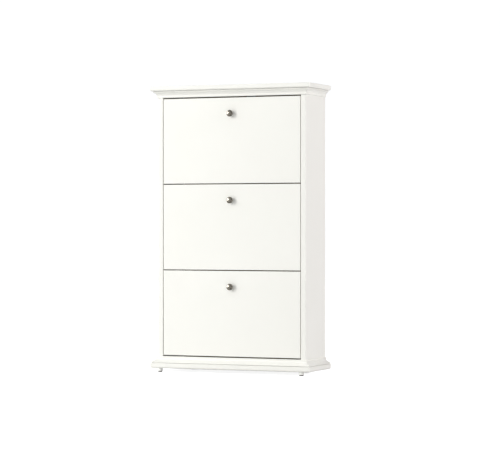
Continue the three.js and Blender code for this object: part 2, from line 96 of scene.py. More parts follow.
class CabinetFinish(bpy.types.PropertyGroup):
    """The colours of the cabinet's finishes."""

    lacquer: FloatVectorProperty(
        name="Lacquer", description="Creamy white of the painted outside",
        subtype="COLOR", size=3, min=0, max=1, default=(0.905, 0.900, 0.850))
    lacquer_shade: FloatVectorProperty(
        name="Lacquer Shade", description="Slightly darker tone in the paint's broad clouds",
        subtype="COLOR", size=3, min=0, max=1, default=(0.885, 0.879, 0.828))
    board: FloatVectorProperty(
        name="Inner Board", description="Coated boards inside the flaps",
        subtype="COLOR", size=3, min=0, max=1, default=(0.82, 0.815, 0.79))
    hardboard: FloatVectorProperty(
        name="Hardboard", description="Brown fibre of the back panel",
        subtype="COLOR", size=3, min=0, max=1, default=(0.33, 0.215, 0.12))
    knob: FloatVectorProperty(
        name="Knob Metal", description="Worn high spots of the aged nickel",
        subtype="COLOR", size=3, min=0, max=1, default=(0.36, 0.335, 0.285))
    patina: FloatVectorProperty(
        name="Patina", description="Brown-black tarnish on the knobs",
        subtype="COLOR", size=3, min=0, max=1, default=(0.035, 0.03, 0.021))
    steel: FloatVectorProperty(
        name="Zinc Steel", description="Plated pins, screws and the wall angle",
        subtype="COLOR", size=3, min=0, max=1, default=(0.62, 0.63, 0.65))
    plastic: FloatVectorProperty(
        name="Moulded Plastic", description="End brackets, glides and cam caps",
        subtype="COLOR", size=3, min=0, max=1, default=(0.78, 0.78, 0.75))
    felt: FloatVectorProperty(
        name="Felt", description="Pads under the glides",
        subtype="COLOR", size=3, min=0, max=1, default=(0.085, 0.08, 0.076))


class CabinetEdges(bpy.types.PropertyGroup):
    """How far the edges of the pieces are rounded."""

    front_corner: FloatProperty(
        name="Side Front Edge", description="Radius of the outer front edge of each side",
        default=5 * MM, min=0.5 * MM, unit="LENGTH")
    board_top: FloatProperty(
        name="Board Top Edge", description="Radius of the upper edge of the top and base boards",
        default=2 * MM, min=0.5 * MM, unit="LENGTH")
    top_under: FloatProperty(
        name="Top Board Lower Edge", description="Radius of the lower edge of the top board",
        default=5 * MM, min=0.5 * MM, unit="LENGTH")
    base_under: FloatProperty(
        name="Base Board Lower Edge", description="Radius of the lower edge of the base board",
        default=7 * MM, min=0.5 * MM, unit="LENGTH")
    flap: FloatProperty(
        name="Flap Edge", description="Radius round the front face of each flap",
        default=2 * MM, min=0.3 * MM, unit="LENGTH")
    eased: FloatProperty(
        name="Eased Edge", description="Radius of every other sharp edge of a board",
        default=0.6 * MM, min=0.1 * MM, unit="LENGTH")
    segments: IntProperty(
        name="Segments", description="Steps across a rounded edge", default=6, min=2, max=16)


class CabinetStudio(bpy.types.PropertyGroup):
    """The camera, the lights and the floor."""

    azimuth: FloatProperty(
        name="Azimuth", description="Camera's turn to the right of the cabinet's front",
        default=math.radians(23.28), subtype="ANGLE")
    elevation: FloatProperty(
        name="Elevation", description="Camera's rise above the horizon",
        default=math.radians(0.247), subtype="ANGLE")
    distance: FloatProperty(
        name="Distance", description="From the camera to the point it looks at",
        default=8.954, min=1, unit="LENGTH")
    aim: FloatVectorProperty(
        name="Aim", description="The point in the cabinet that the camera looks at",
        subtype="TRANSLATION", size=3, default=(0.038, 0.016, 0.578))
    lens: FloatProperty(
        name="Lens", description="Focal length on a 36 mm sensor", default=153.8, min=20)
    sky_bright: FloatProperty(
        name="Bright Side", description="Strength of the surroundings overhead and to the left",
        default=0.885, min=0)
    sky_dim: FloatProperty(
        name="Dim Side", description="Strength of the surroundings below and to the right",
        default=0.02, min=0)
    sky_tint: FloatVectorProperty(
        name="Surroundings Tint", description="Colour of the surroundings",
        subtype="COLOR", size=3, min=0, max=1, default=(0.975, 0.985, 1.0))
    sky_towards: FloatVectorProperty(
        name="Bright Direction", description="Where the surroundings are brightest",
        subtype="DIRECTION", size=3, default=(-0.55, -0.62, 0.4))
    backdrop: FloatProperty(
        name="Backdrop", description="Strength of the white surroundings as they are seen",
        default=1.05, min=0)
    key: FloatProperty(
        name="Key Light", description="Power of the soft light at the front left", default=206, min=0)
    key_tint: FloatVectorProperty(
        name="Key Light Tint", description="Colour of the light at the front left",
        subtype="COLOR", size=3, min=0, max=1, default=(1.0, 0.993, 0.96))
    side_fill: FloatProperty(
        name="Side Fill", description="Power of the large light at the right", default=127, min=0)
    fill_tint: FloatVectorProperty(
        name="Side Fill Tint", description="Colour of the light at the right",
        subtype="COLOR", size=3, min=0, max=1, default=(1.0, 0.967, 0.985))
    card: FloatProperty(
        name="Left Card", description="Power of the card that only shows as a reflection",
        default=165, min=0)
    low_card: FloatProperty(
        name="Low Card", description="Power of the small light near the floor in front of the plinth",
        default=1.9, min=0)
    floor_seen: FloatProperty(
        name="Floor Brightness", description="The floor's own brightness as it is seen",
        default=0.88, min=0)
    floor_return: FloatProperty(
        name="Floor Return", description="How much of its light the floor gives back to the cabinet",
        default=0.73, min=0, max=1)
    floor: FloatVectorProperty(
        name="Floor", description="Pale floor", subtype="COLOR", size=3, min=0, max=1,
        default=(0.93, 0.93, 0.93))


# ------------------------------------------------------------------ node helpers


def add_node(tree, kind, inputs=(), **settings):
    """A node with its settings, and its inputs given as values or as sockets to join."""
    made = tree.nodes.new(kind)
    for key, value in settings.items():
        setattr(made, key, value)
    for key, value in dict(inputs).items():
        if isinstance(value, bpy.types.NodeSocket):
            tree.links.new(value, made.inputs[key])
        else:
            made.inputs[key].default_value = value
    return made


def math_node(tree, operation, first, second):
    return add_node(tree, "ShaderNodeMath", {0: first, 1: second}, operation=operation).outputs[0]


def mix_colours(tree, factor, first, second):
    """One colour mixed with another."""
    mixed = add_node(tree, "ShaderNodeMix", {"Factor": factor}, data_type="RGBA")
    for socket, value in ((mixed.inputs[6], first), (mixed.inputs[7], second)):
        if isinstance(value, bpy.types.NodeSocket):
            tree.links.new(value, socket)
        else:
            socket.default_value = value
    return mixed.outputs[2]


def span(tree, value, low, high, new_low=0.0, new_high=1.0):
    """A value stretched from one range to another, and held inside it."""
    inputs = {"Value": value, "From Min": low, "From Max": high, "To Min": new_low, "To Max": new_high}
    return add_node(tree, "ShaderNodeMapRange", inputs, clamp=True).outputs[0]


def object_place(tree, scale=(1, 1, 1)):
    """Object coordinates, squeezed or stretched."""
    place = add_node(tree, "ShaderNodeTexCoord").outputs["Object"]
    if tuple(scale) == (1, 1, 1):
        return place
    return add_node(tree, "ShaderNodeMapping", {"Vector": place, "Scale": scale}).outputs[0]


def noise(tree, place, scale, detail=3.0, roughness=0.5):
    inputs = {"Vector": place, "Scale": scale, "Detail": detail, "Roughness": roughness}
    return add_node(tree, "ShaderNodeTexNoise", inputs).outputs["Fac"]


def shade(colour, factor=1.0):
    """A colour made darker or lighter, with its alpha."""
    return (*(min(1.0, channel * factor) for channel in colour), 1.0)


# ------------------------------------------------------------------ shared shader groups


def new_group(name, inputs, outputs):
    """An empty shader node group with the named sockets, each a (name, kind, default) triple."""
    group = bpy.data.node_groups.new(name, "ShaderNodeTree")
    for label, kind, default in inputs:
        socket = group.interface.new_socket(label, in_out="INPUT", socket_type=kind)
        socket.default_value = default
    for label, kind in outputs:
        group.interface.new_socket(label, in_out="OUTPUT", socket_type=kind)
    return group, group.nodes.new("NodeGroupInput").outputs, group.nodes.new("NodeGroupOutput").inputs


def clouds_group():
    """Two tones of one colour in broad soft clouds, with a little fine grain."""
    group, given, out = new_group(
        "Tone Clouds",
        [("Light", "NodeSocketColor", (1, 1, 1, 1)), ("Dark", "NodeSocketColor", (0.9, 0.9, 0.9, 1)),
         ("Size", "NodeSocketFloat", 6.0), ("Grain", "NodeSocketFloat", 0.2)],
        [("Colour", "NodeSocketColor"), ("Value", "NodeSocketFloat")])
    place = object_place(group)
    broad = span(group, noise(group, place, given["Size"], 3.0), 0.35, 0.65)
    fine = noise(group, place, 420.0, 2.0)
    mixed = add_node(
        group, "ShaderNodeMix", {"Factor": given["Grain"], "A": broad, "B": fine}, data_type="FLOAT")
    value = mixed.outputs[0]
    group.links.new(mix_colours(group, value, given["Light"], given["Dark"]), out["Colour"])
    group.links.new(value, out["Value"])
    return group


def edge_group():
    """Where handling has rubbed the rounded edges, broken up by noise."""
    group, given, out = new_group(
        "Rubbed Edges",
        [("Amount", "NodeSocketFloat", 0.5), ("Break Up", "NodeSocketFloat", 60.0)],
        [("Mask", "NodeSocketFloat")])
    edge = add_node(group, "ShaderNodeAttribute", attribute_name=EDGE_MARK).outputs["Fac"]
    patches = span(group, noise(group, object_place(group), given["Break Up"], 4.0), 0.38, 0.66)
    rubbed = math_node(group, "MULTIPLY", edge, patches)
    group.links.new(math_node(group, "MULTIPLY", rubbed, given["Amount"]), out["Mask"])
    return group


def skin_group():
    """The fine relief of a sprayed or moulded skin: a soft ripple with a sharper grain on it."""
    group, given, out = new_group(
        "Skin Relief",
        [("Ripple", "NodeSocketFloat", 240.0), ("Grain", "NodeSocketFloat", 1500.0),
         ("Grain Share", "NodeSocketFloat", 0.3)],
        [("Height", "NodeSocketFloat")])
    place = object_place(group)
    ripple = noise(group, place, given["Ripple"], 2.0)
    grain = noise(group, place, given["Grain"], 3.0)
    mixed = add_node(
        group, "ShaderNodeMix", {"Factor": given["Grain Share"], "A": ripple, "B": grain},
        data_type="FLOAT")
    group.links.new(mixed.outputs[0], out["Height"])
    return group


def lathe_group():
    """Fine rings round a turned piece, which follow its profile."""
    group, given, out = new_group(
        "Lathe Rings", [("Pitch", "NodeSocketFloat", 3000.0)], [("Height", "NodeSocketFloat")])
    along = add_node(group, "ShaderNodeAttribute", attribute_name=ALONG_MARK).outputs["Fac"]
    place = add_node(group, "ShaderNodeCombineXYZ", {"X": along}).outputs[0]
    group.links.new(noise(group, place, given["Pitch"], 3.0, 0.6), out["Height"])
    return group


GROUPS = {"clouds": clouds_group, "edges": edge_group, "skin": skin_group, "rings": lathe_group}


def place_group(tree, kind, **inputs):
    """One of the shared groups as a node in a material; it is built the first time it is used."""
    key = "cabinet_" + kind
    if key not in bpy.data.node_groups:
        GROUPS[kind]().name = key
    made = add_node(tree, "ShaderNodeGroup", node_tree=bpy.data.node_groups[key])
    for name, value in inputs.items():
        socket = made.inputs[name.replace("_", " ").title()]
        if isinstance(value, bpy.types.NodeSocket):
            tree.links.new(value, socket)
        else:
            socket.default_value = value
    return made.outputs


# ------------------------------------------------------------------ materials


def new_material(name, **fixed):
    """A material with one Principled shader, whose plain numbers are set on its own sockets."""
    material = bpy.data.materials.new(name)
    material.use_nodes = True
    tree = material.node_tree
    shader = tree.nodes["Principled BSDF"]
    for key, value in fixed.items():
        shader.inputs[key.replace("_", " ")].default_value = value
    return material, tree, shader


def feed(shader, **sockets):
    """Joins sockets to the shader's inputs."""
    for name, socket in sockets.items():
        shader.id_data.links.new(socket, shader.inputs[name.replace("_", " ")])


def relief(tree, shader, height, distance, strength):
    """Bumps the surface by a height map."""
    bump = add_node(
        tree, "ShaderNodeBump", {"Height": height, "Distance": distance, "Strength": strength})
    feed(shader, Normal=bump.outputs[0])


def white_lacquer(finish):
    """Sprayed satin lacquer: creamy white, a soft orange peel, edges rubbed a little smoother."""
    material, tree, shader = new_material(
        "White lacquer", Coat_Weight=0.25, Coat_Roughness=0.22, Specular_IOR_Level=0.45)
    tone = place_group(
        tree, "clouds", light=shade(finish.lacquer), dark=shade(finish.lacquer_shade),
        size=3.2, grain=0.25)
    rubbed = place_group(tree, "edges", amount=0.4, break_up=45.0)["Mask"]
    edge_tone = shade(finish.lacquer_shade, 0.97)
    satin = span(tree, tone["Value"], 0.0, 1.0, 0.36, 0.46)
    smoothed = math_node(tree, "MULTIPLY", rubbed, 0.1)
    feed(shader, Base_Color=mix_colours(tree, rubbed, tone["Colour"], edge_tone),
         Roughness=math_node(tree, "SUBTRACT", satin, smoothed))
    orange_peel = place_group(tree, "skin", ripple=210.0, grain=1400.0)["Height"]
    relief(tree, shader, orange_peel, 0.05 * MM, 0.5)
    return material


def coated_board(finish):
    """Melamine-coated board: matt white with a faint pore print and an edging a shade apart."""
    material, tree, shader = new_material("Coated board", Specular_IOR_Level=0.4)
    tone = place_group(
        tree, "clouds", light=shade(finish.board), dark=shade(finish.board, 0.95), size=9.0, grain=0.5)
    edging = place_group(tree, "edges", amount=0.7, break_up=25.0)["Mask"]
    edge_tone = shade(finish.board, 0.86)
    feed(shader, Base_Color=mix_colours(tree, edging, tone["Colour"], edge_tone),
         Roughness=span(tree, tone["Value"], 0.0, 1.0, 0.5, 0.62))
    pores = noise(tree, object_place(tree, (0.12, 1.0, 1.0)), 1600.0, 3.0)
    relief(tree, shader, pores, 0.06 * MM, 0.4)
    return material


def brown_hardboard(finish):
    """Hardboard: pressed brown fibres, with the wire screen's weave on it."""
    material, tree, shader = new_material("Hardboard", Specular_IOR_Level=0.25)
    fibres = noise(tree, object_place(tree, (1.0, 1.0, 0.25)), 520.0, 6.0, 0.7)
    flecks = span(tree, noise(tree, object_place(tree), 900.0, 2.0), 0.6, 0.72)
    dark, light, pale = (shade(finish.hardboard, factor) for factor in (0.7, 1.35, 2.1))
    tone = mix_colours(tree, span(tree, fibres, 0.3, 0.7), dark, light)
    fleck_share = math_node(tree, "MULTIPLY", flecks, 0.5)
    feed(shader, Base_Color=mix_colours(tree, fleck_share, tone, pale),
         Roughness=span(tree, fibres, 0.2, 0.8, 0.62, 0.85))
    screen_pitch = 210.0
    waves = [
        add_node(tree, "ShaderNodeTexWave",
                 {"Vector": object_place(tree), "Scale": screen_pitch, "Distortion": 0.6},
                 bands_direction=direction).outputs["Fac"]
        for direction in ("X", "Z")
    ]
    screen = math_node(tree, "MULTIPLY", *waves)
    relief(tree, shader, math_node(tree, "ADD", screen, fibres), 0.12 * MM, 0.6)
    return material


def aged_nickel(finish):
    """Aged nickel: brown tarnish with fine turning rings, rubbed bright on the dome by handling."""
    material, tree, shader = new_material("Aged nickel", Metallic=1.0)
    tone = place_group(
        tree, "clouds", light=shade(finish.knob), dark=shade(finish.patina), size=95.0, grain=0.3)
    rings = place_group(tree, "rings", pitch=2600.0)["Height"]
    streaks = span(tree, rings, 0.35, 0.65, 0.0, 0.3)
    along = add_node(tree, "ShaderNodeAttribute", attribute_name=ALONG_MARK).outputs["Fac"]
    rim, dome = 35 * MM, 41 * MM  # distances along the knob's profile
    handled = span(tree, along, rim, dome, 0.0, 0.75)
    worn = math_node(tree, "MAXIMUM", streaks, handled)
    feed(shader, Base_Color=mix_colours(tree, worn, tone["Colour"], shade(finish.knob)),
         Roughness=span(tree, tone["Value"], 0.0, 1.0, 0.07, 0.16))
    relief(tree, shader, rings, 0.02 * MM, 0.25)
    return material


def zinc_steel(finish):
    """Zinc-plated steel: cool grey, with faint crystals and turning rings."""
    material, tree, shader = new_material("Zinc steel", Metallic=1.0)
    tone = place_group(
        tree, "clouds", light=shade(finish.steel), dark=shade(finish.steel, 0.8), size=240.0, grain=0.5)
    feed(shader, Base_Color=tone["Colour"], Roughness=span(tree, tone["Value"], 0.0, 1.0, 0.3, 0.48))
    relief(tree, shader, place_group(tree, "rings", pitch=2200.0)["Height"], 0.02 * MM, 0.5)
    return material


def moulded_plastic(finish, name, whiteness_with_painted_light, peel):
    """Injection-moulded plastic with a spark-eroded skin."""
    material, tree, shader = new_material(name, Specular_IOR_Level=0.5)
    # A factor above 1 gives a lighter copy of the plastic: partly a whiter plastic, partly painted light
    # against shade.
    light, dark = (shade(finish.plastic, whiteness_with_painted_light * factor) for factor in (1.0, 0.94))
    tone = place_group(tree, "clouds", light=light, dark=dark, size=30.0, grain=0.35)
    rubbed = place_group(tree, "edges", amount=0.6, break_up=120.0)["Mask"]
    matt = span(tree, tone["Value"], 0.0, 1.0, 0.4, 0.52)
    smoothed = math_node(tree, "MULTIPLY", rubbed, 0.12)
    feed(shader, Base_Color=tone["Colour"], Roughness=math_node(tree, "SUBTRACT", matt, smoothed))
    skin = place_group(tree, "skin", ripple=900.0, grain=3200.0, grain_share=0.6)["Height"]
    relief(tree, shader, skin, peel, 0.6)
    return material


def grey_felt(finish):
    """Pressed wool felt: matted fibres in two greys."""
    material, tree, shader = new_material(
        "Felt", Sheen_Weight=0.5, Sheen_Roughness=0.5, Specular_IOR_Level=0.1)
    fibres = noise(tree, object_place(tree, (1.0, 1.0, 2.0)), 1400.0, 6.0, 0.75)
    dark, light = shade(finish.felt), shade(finish.felt, 2.2)
    feed(shader, Base_Color=mix_colours(tree, span(tree, fibres, 0.3, 0.7), dark, light),
         Roughness=span(tree, fibres, 0.0, 1.0, 0.85, 1.0))
    relief(tree, shader, fibres, 0.3 * MM, 0.8)
    return material


def bracket_plastic(finish):
    return moulded_plastic(finish, "Bracket plastic", 1.0, 0.05 * MM)


def glide_plastic(finish):
    # The glides and cam caps get this lighter copy: partly a whiter plastic, partly painted light that
    # lifts the shade they sit in under the base board and the rails.
    return moulded_plastic(finish, "Glide plastic", 1.26, 0.03 * MM)


MATERIALS = {
    "white_lacquer": white_lacquer,
    "inner_board": coated_board,
    "hardboard": brown_hardboard,
    "knob_metal": aged_nickel,
    "zinc_steel": zinc_steel,
    "bracket_plastic": bracket_plastic,
    "glide_plastic": glide_plastic,
    "felt": grey_felt,
}
made_materials = {}


def material_for(slot):
    """The material of a slot, made once from the scene's finish settings."""
    if slot not in made_materials:
        made_materials[slot] = MATERIALS[slot](bpy.context.scene.cabinet_finish)
    return made_materials[slot]


# ------------------------------------------------------------------ mesh helpers


def new_bmesh():
    """A bmesh with the layers that the materials read."""
    bm = bmesh.new()
    bm.faces.layers.float.new(EDGE_MARK)
    bm.verts.layers.float.new(ALONG_MARK)
    return bm


def block(low, high):
    """A closed box between two corners."""
    low, high = Vector(low), Vector(high)
    bm = new_bmesh()
    bmesh.ops.create_cube(bm, size=1.0)
    bmesh.ops.scale(bm, vec=high - low, verts=bm.verts)
    bmesh.ops.translate(bm, vec=(low + high) / 2, verts=bm.verts)
    return bm


def edges_where(bm, test):
    """The edges whose two ends both pass the test."""
    return [edge for edge in bm.edges if all(test(vert.co) for vert in edge.verts)]


def ease(bm, edges, radius, segments=3):
    """Rounds edges, and marks the faces that this makes."""
    mark = bm.faces.layers.float[EDGE_MARK]
    made = bmesh.ops.bevel(
        bm, geom=edges, offset=radius, offset_type="OFFSET", segments=segments, profile=0.5,
        affect="EDGES", clamp_overlap=True, material=-1)
    for face in made["faces"]:
        face[mark] = 1.0


def ease_sharp(bm, radius, segments=2, angle=math.radians(50)):
    """Rounds every edge that is still sharper than the angle and long enough for the rounding."""
    sharp = [edge for edge in bm.edges
             if edge.calc_face_angle(0) > angle and edge.calc_length() > 3 * radius]
    ease(bm, sharp, radius, segments)


def prism(outline, height):
    """A closed outline, extruded by a vector."""
    bm = new_bmesh()
    face = bm.faces.new([bm.verts.new(point) for point in outline])
    grown = bmesh.ops.extrude_face_region(bm, geom=[face])
    moved = [item for item in grown["geom"] if isinstance(item, bmesh.types.BMVert)]
    bmesh.ops.translate(bm, vec=height, verts=moved)
    bmesh.ops.recalc_face_normals(bm, faces=bm.faces)
    return bm


def arc(centre, radius, start, end, steps):
    """Points on an arc, in degrees."""
    turns = [math.radians(start + (end - start) * step / steps) for step in range(steps + 1)]
    return [(centre[0] + radius * math.cos(turn), centre[1] + radius * math.sin(turn)) for turn in turns]


def curve(start, first, second, end, steps=12):
    """Points on a Bezier curve in a section."""
    knots = [Vector((*point, 0.0)) for point in (start, first, second, end)]
    return [(point.x, point.y) for point in interpolate_bezier(*knots, steps)]


def aimed(place, direction):
    """The transform that puts +Z along a direction at a place."""
    turn = Vector((0, 0, 1)).rotation_difference(Vector(direction))
    return Matrix.Translation(place) @ turn.to_matrix().to_4x4()


def turned(profile, steps=40):
    """A closed solid turned round Z: the profile is (radius, height) pairs from the axis to the axis."""
    bm = new_bmesh()
    along = bm.verts.layers.float[ALONG_MARK]
    points = [Vector((radius, 0.0, height)) for radius, height in profile]
    verts = [bm.verts.new(point) for point in points]
    distance = 0.0
    for vert, point, before in zip(verts, points, [points[0], *points]):
        distance += (point - before).length
        vert[along] = distance
    edges = [bm.edges.new(pair) for pair in zip(verts, verts[1:])]
    bmesh.ops.spin(
        bm, geom=verts + edges, cent=(0, 0, 0), axis=(0, 0, 1), dvec=(0, 0, 0),
        angle=2 * math.pi, steps=steps, use_merge=True, use_duplicate=False)
    bmesh.ops.remove_doubles(bm, verts=bm.verts, dist=1e-6)
    bmesh.ops.recalc_face_normals(bm, faces=bm.faces)
    return bm


def rounded(profile, radius, steps=3):
    """A profile with every corner between its ends rounded by a quadratic curve."""
    points = [Vector(point) for point in profile]
    eased = [tuple(points[0])]
    for before, corner, after in zip(points, points[1:], points[2:]):
        reach = min(radius, (before - corner).length / 2, (after - corner).length / 2)
        start = corner + (before - corner).normalized() * reach
        end = corner + (after - corner).normalized() * reach
        for step in range(steps + 1):
            part = step / steps
            eased.append(tuple(start.lerp(corner, part).lerp(corner.lerp(end, part), part)))
    eased.append(tuple(points[-1]))
    return eased


def join_meshes(parts):
    """Several bmeshes as one, each a closed shell of its own."""
    bm = new_bmesh()
    for part, transform in parts:
        template = bpy.data.meshes.new("template")
        part.to_mesh(template)
        template.transform(transform)
        bm.from_mesh(template)
        bpy.data.meshes.remove(template)
    return bm


def repeated(part, transforms):
    """Copies of one bmesh at several places, as one bmesh."""
    bm = join_meshes([(part, transform) for transform in transforms])
    part.free()
    return bm


def piece(name, bm, slot, body, nodes=(), crease=35.0):
    """Makes the finished piece: smooth faces, its slot's material, its body, and what it replaces."""
    mesh = bpy.data.meshes.new(name)
    bm.to_mesh(mesh)
    bm.free()
    mesh.shade_smooth()
    mesh.set_sharp_from_angle(angle=math.radians(crease))
    mesh.materials.append(material_for(slot))
    obj = bpy.data.objects.new(name, mesh)
    bpy.context.scene.collection.objects.link(obj)
    normals = obj.modifiers.new("Face weighted normals", "WEIGHTED_NORMAL")
    normals.keep_sharp = True
    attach(obj, body)
    if nodes:
        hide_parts(*nodes)
    return obj


# ------------------------------------------------------------------ the case


class CabinetTopAndBase(bpy.types.Operator):
    """Build the top board and the base board, with their rounded front and side edges"""

    bl_idname = "cabinet.top_and_base"
    bl_label = "Top and Base Boards"

    def execute(self, context):
        edges = context.scene.cabinet_edges
        for node, under in (("top_board", edges.top_under), ("base_board", edges.base_under)):
            self.build(node, under, edges)
        return {"FINISHED"}

    def build(self, node, under, edges):
        low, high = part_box(node)
        bm = block(low, high)
        for level, radius in ((high.z, edges.board_top), (low.z, under)):
            ease(bm, self.rim(bm, level, high.y), radius, edges.segments)
        ease_sharp(bm, edges.eased)
        piece(node + "_fine", bm, "white_lacquer", CASE, [node])

    def rim(self, bm, level, rear):
        """The edges round one face of the board, without the rear one."""
        flat = edges_where(bm, lambda co: abs(co.z - level) < 0.01 * MM)
        return [edge for edge in flat if not all(vert.co.y > rear - MM for vert in edge.verts)]


class CabinetSides(bpy.types.Operator):
    """Build the two case sides, each rebated for the back panel and rounded at its front edge"""

    bl_idname = "cabinet.sides"
    bl_label = "Case Sides"

    def execute(self, context):
        edges = context.scene.cabinet_edges
        back_low, back_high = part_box("back_panel")
        rebate = back_high.x + FIT
        step = back_low.y - FIT
        plan = [(INNER, FRONT), (OUTER, FRONT), (OUTER, BACK),
                (rebate, BACK), (rebate, step), (INNER, step)]
        for word, side in SIDES:
            node = "side_panel_" + word
            low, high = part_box(node)
            bm = prism([(side * x, y, low.z) for x, y in plan], (0, 0, high.z - low.z))
            corner = edges_where(bm, lambda co: abs(co.x) > OUTER - MM and co.y < FRONT + MM)
            ease(bm, corner, edges.front_corner, edges.segments + 2)
            ease_sharp(bm, edges.eased)
            piece(node + "_fine", bm, "white_lacquer", CASE, [node])
        return {"FINISHED"}


class CabinetRails(bpy.types.Operator):
    """Build the front rails and the cross rails"""

    bl_idname = "cabinet.rails"
    bl_label = "Rails"

    def execute(self, context):
        eased = context.scene.cabinet_edges.eased
        rails = (("top_rail", "white_lacquer"), ("bottom_rail", "white_lacquer"),
                 ("cross_rail_lower", "inner_board"), ("cross_rail_upper", "inner_board"))
        for node, slot in rails:
            bm = block(*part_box(node))
            ease_sharp(bm, eased)
            piece(node + "_fine", bm, slot, CASE, [node])
        return {"FINISHED"}


def cornice_section():
    """The cornice: a shadow groove under the board, a fillet, a cove, and a small bead at its foot."""
    low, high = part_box("cornice_front")
    foot, head = low.z, high.z
    reach = FRONT - low.y
    section = [(FIT, foot)]
    section += arc((1.2 * MM, foot + 3 * MM), 3 * MM, -88, 0, 6)
    section += arc((3.4 * MM, foot + 6.2 * MM), 0.8 * MM, 0, 80, 3)
    section += [(3.3 * MM, foot + 7.5 * MM)]
    section += curve((3.2 * MM, foot + 8.5 * MM), (3.6 * MM, foot + 14 * MM),
                     (reach - 7 * MM, head - 8 * MM), (reach - 0.6 * MM, head - 4.8 * MM), 16)
    groove = head - 1.2 * MM
    section += [(reach, head - 4.4 * MM), (reach, groove), (reach - 4 * MM, groove),
                (reach - 4 * MM, head), (FIT, head)]
    return section


def plinth_section():
    """The plinth: a thin lip that is undercut at the board, a hollow curve in to the case, and a bead."""
    low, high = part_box("plinth_front")
    foot, head = low.z, high.z
    reach = FRONT - low.y
    undercut = reach - 4.5 * MM
    section = [(FIT, foot), (undercut, foot), (undercut, foot + 1.6 * MM),
               (reach - 0.4 * MM, foot + 2 * MM), (reach, foot + 2.6 * MM)]
    section += curve((reach - 0.1 * MM, foot + 3.4 * MM), (reach - 4 * MM, foot + 9.5 * MM),
                     (7 * MM, foot + 9 * MM), (4.5 * MM, foot + 21 * MM), 18)
    section += arc((3.2 * MM, head - 3.2 * MM), 2.8 * MM, -55, 80, 7)
    section += [(3.2 * MM, head), (FIT, head)]
    return section


class CabinetMouldings(bpy.types.Operator):
    """Build the mitred cornice and plinth mouldings"""

    bl_idname = "cabinet.mouldings"
    bl_label = "Cornice and Plinth"
    mitre_gap = 0.22 * MM  # how far each end stays short of the mitre

    def execute(self, context):
        for kind, section in (("cornice", cornice_section()), ("plinth", plinth_section())):
            self.front(kind + "_front", section)
            for word, side in SIDES:
                self.side(f"{kind}_{word}", section, side)
        return {"FINISHED"}

    def front(self, node, section):
        """Across the front: each end is cut back by as much as the section stands out."""
        outline = [(-(OUTER + out - self.mitre_gap), FRONT - out, up) for out, up in section]
        bm = prism(outline, (0, 0, 0))
        self.send_far_end(bm, len(outline), lambda co: Vector((-co.x, co.y, co.z)))
        self.finish(node, bm)

    def side(self, node, section, side):
        """Along a side, from the back to the mitre."""
        outline = [(side * (OUTER + out), BACK, up) for out, up in section]
        bm = prism(outline, (0, 0, 0))

        def mitred(co):
            out = abs(co.x) - OUTER
            return Vector((co.x, FRONT - out + self.mitre_gap, co.z))

        self.send_far_end(bm, len(outline), mitred)
        self.finish(node, bm)

    def send_far_end(self, bm, count, rule):
        """Moves the extruded copy of the section to where the rule says."""
        bm.verts.ensure_lookup_table()
        for vert in bm.verts[count:]:
            vert.co = rule(vert.co)
        bmesh.ops.recalc_face_normals(bm, faces=bm.faces)

    def finish(self, node, bm):
        caps = [face for face in bm.faces if len(face.verts) > 4]
        bmesh.ops.triangulate(bm, faces=caps)
        piece(node + "_fine", bm, "white_lacquer", CASE, [node], crease=28.0)


class CabinetBack(bpy.types.Operator):
    """Build the hardboard back panel and the nails that hold it"""

    bl_idname = "cabinet.back"
    bl_label = "Back Panel"

    def execute(self, context):
        low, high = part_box("back_panel")
        bm = block(low, high)
        ease_sharp(bm, 0.3 * MM, 1)
        piece("back_panel_fine", bm, "hardboard", CASE, ["back_panel"])
        self.nails(low, high)
        return {"FINISHED"}

    def nails(self, low, high):
        """Flat-headed nails down both long edges and across the ends."""
        inset = 5 * MM
        pitch = 0.105
        rows = round((high.z - low.z) / pitch)
        across = round((high.x - low.x) / pitch)
        places = []
        for row in range(rows + 1):
            z = low.z + inset + (high.z - low.z - 2 * inset) * row / rows
            places += [(low.x + inset, z), (high.x - inset, z)]
        for column in range(1, across):
            x = low.x + (high.x - low.x) * column / across
            places += [(x, low.z + inset), (x, high.z - inset)]
        shank, head = 0.7 * MM, 2.1 * MM
        profile = [(0, -2 * MM), (shank, -2 * MM), (shank, 0), (head, 0), (head, 0.5 * MM), (0, 0.6 * MM)]
        nail = turned(rounded(profile, 0.15 * MM, 1), 12)
        transforms = [aimed((x, high.y, z), (0, 1, 0)) for x, z in places]
        piece("back_panel_nails", repeated(nail, transforms), "zinc_steel", CASE)


# ------------------------------------------------------------------ flaps


class CabinetFlapPanels(bpy.types.Operator):
    """Build the three flap fronts"""

    bl_idname = "cabinet.flap_panels"
    bl_label = "Flap Fronts"

    def execute(self, context):
        edges = context.scene.cabinet_edges
        for flap in FLAPS:
            node = f"flap_{flap}_panel"
            low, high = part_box(node)
            bm = block(low, high)
            ease(bm, edges_where(bm, lambda co: co.y < low.y + MM), edges.flap, edges.segments)
            ease_sharp(bm, edges.eased)
            piece(node + "_fine", bm, "white_lacquer", "flap_" + flap, [node])
        return {"FINISHED"}


def knob_profile(radius, length):
    """A foot ring, a waisted neck, a rim with a fine groove behind it, and a domed face."""
    profile = [(0, 0), (7.6 * MM, 0)]
    profile += arc((7.4 * MM, 0.9 * MM), 0.9 * MM, -80, 90, 5)
    profile += curve((7.0 * MM, 2.0 * MM), (5.4 * MM, 2.8 * MM), (5.0 * MM, 4.2 * MM),
                     (5.1 * MM, 6.2 * MM), 8)
    profile += curve((5.2 * MM, 6.6 * MM), (5.5 * MM, 9.6 * MM), (8.0 * MM, 10.4 * MM),
                     (radius - 2.2 * MM, 11.0 * MM), 10)
    profile += [(radius - 1.9 * MM, 11.5 * MM), (radius - 1.6 * MM, 11.5 * MM)]
    profile += curve((radius - 1.3 * MM, 11.4 * MM), (radius - 0.2 * MM, 12.0 * MM), (radius, 13.4 * MM),
                     (radius, 15.0 * MM), 8)
    profile += curve((radius, 15.4 * MM), (radius, 19.6 * MM), (radius * 0.5, length), (0, length), 20)
    return profile


